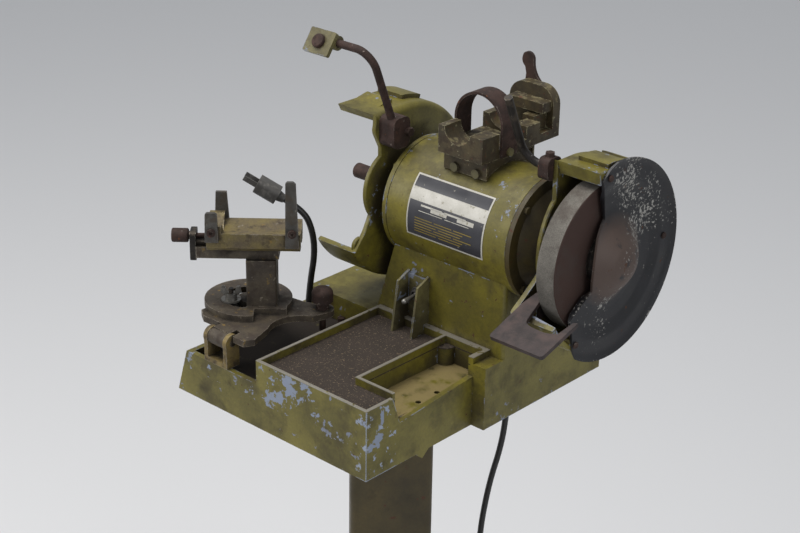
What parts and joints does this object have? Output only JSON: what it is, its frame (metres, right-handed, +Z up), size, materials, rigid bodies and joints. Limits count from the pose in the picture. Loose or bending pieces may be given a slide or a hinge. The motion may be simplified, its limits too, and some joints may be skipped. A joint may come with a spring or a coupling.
{
  "type": "pedestal drill-sharpening grinder",
  "caption": "Electric grinder on a square pedestal: covered wheel, bare left arbor stub, swivelling drill holder, tool rest, chip tray and cord.",
  "frame": {"origin": "centre of the column on the floor face", "axes": "+X along the motor axis towards the wheel, +Y to the back, +Z up"},
  "size_m": [0.491, 0.404, 1.1901],
  "materials": {
    "olive_paint": "satin",
    "black_paint": "satin",
    "yellow_paint": "satin",
    "worn_grey_paint": "satin",
    "rusty_steel": "rough",
    "bright_steel": "satin",
    "dark_steel": "satin",
    "bearing_steel": "polished",
    "laminations": "satin",
    "copper_windings": "satin",
    "wheel_grit": "rough",
    "fixture_casting": "rough",
    "black_rubber": "matte",
    "grey_plastic": "matte",
    "capacitor_case": "satin"
  },
  "bodies": {
    "base": {"floor_plate": "olive_paint", "column": "olive_paint", "top_plate": "olive_paint", "base_casting": "olive_paint", "motor_riser": "olive_paint", "base_bolts": "rusty_steel", "motor_barrel": "olive_paint", "left_end_bell": "olive_paint", "right_end_bell": "olive_paint", "left_bearing": "bearing_steel", "right_bearing": "bearing_steel", "stator_core": "laminations", "stator_windings": "copper_windings", "start_capacitor": "capacitor_case", "left_guard": "olive_paint", "right_guard": "olive_paint", "guard_cover": "black_paint", "cover_screws": "rusty_steel", "guard_bolts": "dark_steel", "left_rod_clamp": "rusty_steel", "right_rod_clamp": "rusty_steel", "clamp_bolts": "rusty_steel", "rest_bolt": "dark_steel", "switch_guard": "olive_paint", "switch_body": "grey_plastic", "hinge_bracket": "yellow_paint", "hinge_pin": "dark_steel", "saddle_block": "fixture_casting", "channel_bracket": "fixture_casting", "cradle": "fixture_casting", "strap_arch": "rusty_steel", "fixture_screws": "yellow_paint", "cord_gland": "grey_plastic", "cord": "black_rubber", "plug": "grey_plastic"},
    "arbor": {"arbor_shaft": "bright_steel", "rotor": "laminations", "grinding_wheel": "wheel_grit", "wheel_flanges": "dark_steel", "wheel_nut": "dark_steel"},
    "switch_toggle": {"switch_lever": "bright_steel"},
    "work_rest": {"tool_rest": "rusty_steel"},
    "left_rod": {"left_shield_rod": "rusty_steel"},
    "shield_holder": {"shield_plate": "yellow_paint", "shield_plate_bolt": "rusty_steel"},
    "right_rod": {"right_shield_rod": "dark_steel"},
    "indexer": {"index_lever": "rusty_steel"},
    "rocker": {"rocker_plate": "fixture_casting", "swivel_pin": "dark_steel"},
    "swivel": {"swivel_post": "fixture_casting", "end_plate": "worn_grey_paint"},
    "slider": {"carriage": "yellow_paint", "left_front_finger": "worn_grey_paint", "right_finger": "worn_grey_paint", "left_rear_finger": "worn_grey_paint", "finger_screws": "rusty_steel"},
    "feed": {"feed_screw": "rusty_steel"},
    "wing": {"wing_nut": "bright_steel"},
    "tilt_screw": {"tilt_knob": "rusty_steel"}
  },
  "joints": [
    {"name": "arbor_spin", "type": "hinge", "parent": "base", "child": "arbor", "pos_m": [0.083, 0.07, 0.983], "axis": [1, 0, 0], "continuous": true},
    {"name": "switch_toggle", "type": "hinge", "parent": "base", "child": "switch_toggle", "pos_m": [0.033, 0.007, 0.885], "axis": [1, 0, 0], "range_deg": [-15, 15]},
    {"name": "rest_slide", "type": "slide", "parent": "base", "child": "work_rest", "axis": [0, -1, 0], "range_m": [0, 0.015]},
    {"name": "left_rod_swing", "type": "hinge", "parent": "base", "child": "left_rod", "pos_m": [-0.022, 0.025, 1.073], "axis": [0, -0.3746, 0.9272], "range_deg": [-40, 40]},
    {"name": "shield_tilt", "type": "hinge", "parent": "left_rod", "child": "shield_holder", "pos_m": [-0.094, -0.01702, 1.177], "axis": [1, 0, 0], "range_deg": [-30, 30]},
    {"name": "right_rod_swing", "type": "hinge", "parent": "base", "child": "right_rod", "pos_m": [0.194, 0.042, 1.081], "axis": [1, 0, 0], "range_deg": [-10, 60]},
    {"name": "index_swing", "type": "hinge", "parent": "base", "child": "indexer", "pos_m": [0.084, 0.1593, 1.104], "axis": [0, 1, 0], "range_deg": [-30, 30]},
    {"name": "rocker_tilt", "type": "hinge", "parent": "base", "child": "rocker", "pos_m": [-0.0985, -0.188, 0.85], "axis": [1, 0, 0], "range_deg": [0, 40]},
    {"name": "holder_swivel", "type": "hinge", "parent": "rocker", "child": "swivel", "pos_m": [-0.129, -0.116, 0.869], "axis": [0, 0, 1], "range_deg": [-25, 25]},
    {"name": "carriage_slide", "type": "slide", "parent": "swivel", "child": "slider", "axis": [0.7431, 0.6691, 0], "range_m": [-0.012, 0.012]},
    {"name": "feed_turn", "type": "hinge", "parent": "swivel", "child": "feed", "pos_m": [-0.17269, -0.16611, 0.9525], "axis": [0.7431, 0.6691, 0], "range_deg": [-2161, 2161]},
    {"name": "wing_turn", "type": "hinge", "parent": "rocker", "child": "wing", "pos_m": [-0.1376, -0.13625, 0.8693], "axis": [0, 0, 1], "range_deg": [-90, 180]},
    {"name": "tilt_turn", "type": "hinge", "parent": "rocker", "child": "tilt_screw", "pos_m": [-0.055, -0.064, 0.869], "axis": [0, 0, 1], "range_deg": [-180, 180]}
  ],
  "couplings": [
    {"joint": "feed_turn", "follows": "carriage_slide", "rad_per_m": 3141.6}
  ]
}
